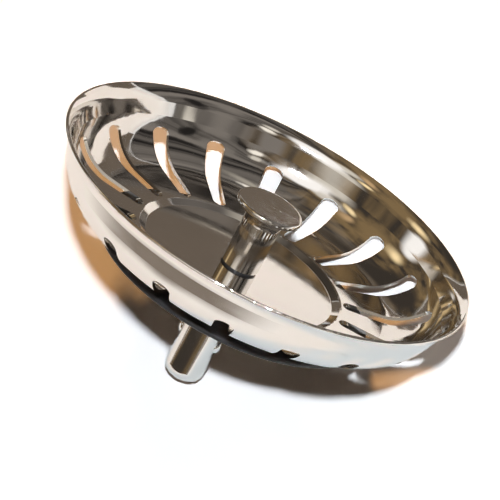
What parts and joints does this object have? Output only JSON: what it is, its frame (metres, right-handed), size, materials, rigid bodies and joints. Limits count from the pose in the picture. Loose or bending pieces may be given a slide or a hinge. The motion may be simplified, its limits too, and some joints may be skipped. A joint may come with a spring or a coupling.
{
  "type": "sink strainer",
  "caption": "Round polished steel basket strainer for a sink waste: slotted bowl with a flared rim, central pull knob, black rubber seal below and a stem with a sprung ball catch.",
  "frame": {"origin": "on the axis of the stem, in the plane of the seal's underside, where the bare stem begins", "axes": "+Z along the axis, up to the knob; the picture looks from -Y with +X to the right"},
  "size_m": [0.0788, 0.0788, 0.0371],
  "materials": {
    "polished_sheet": "polished",
    "bright_metal": "polished",
    "plain_steel": "satin",
    "ball_steel": "polished",
    "black_rubber": "matt"
  },
  "bodies": {
    "plug": {"strainer_basket": "polished_sheet", "pull_knob": "bright_metal", "knob_gasket": "black_rubber", "seal_disc": "black_rubber", "backing_washer": "plain_steel", "tie_stud": "plain_steel", "stem": "bright_metal", "detent_spring": "plain_steel"},
    "right_ball": {"detent_ball_right": "ball_steel"},
    "left_ball": {"detent_ball_left": "ball_steel"}
  },
  "joints": [
    {"name": "right_ball_slide", "type": "slide", "parent": "plug", "child": "right_ball", "axis": [0.9848, -0.1736, 0], "range_m": [-0.0006, 0], "stiffness_N_per_m": 1000, "springref_m": 0.0008, "deforming": ["detent_spring"]},
    {"name": "left_ball_slide", "type": "slide", "parent": "plug", "child": "left_ball", "axis": [-0.9848, 0.1736, 0], "range_m": [-0.0006, 0], "stiffness_N_per_m": 1000, "springref_m": 0.0008, "deforming": ["detent_spring"]}
  ]
}
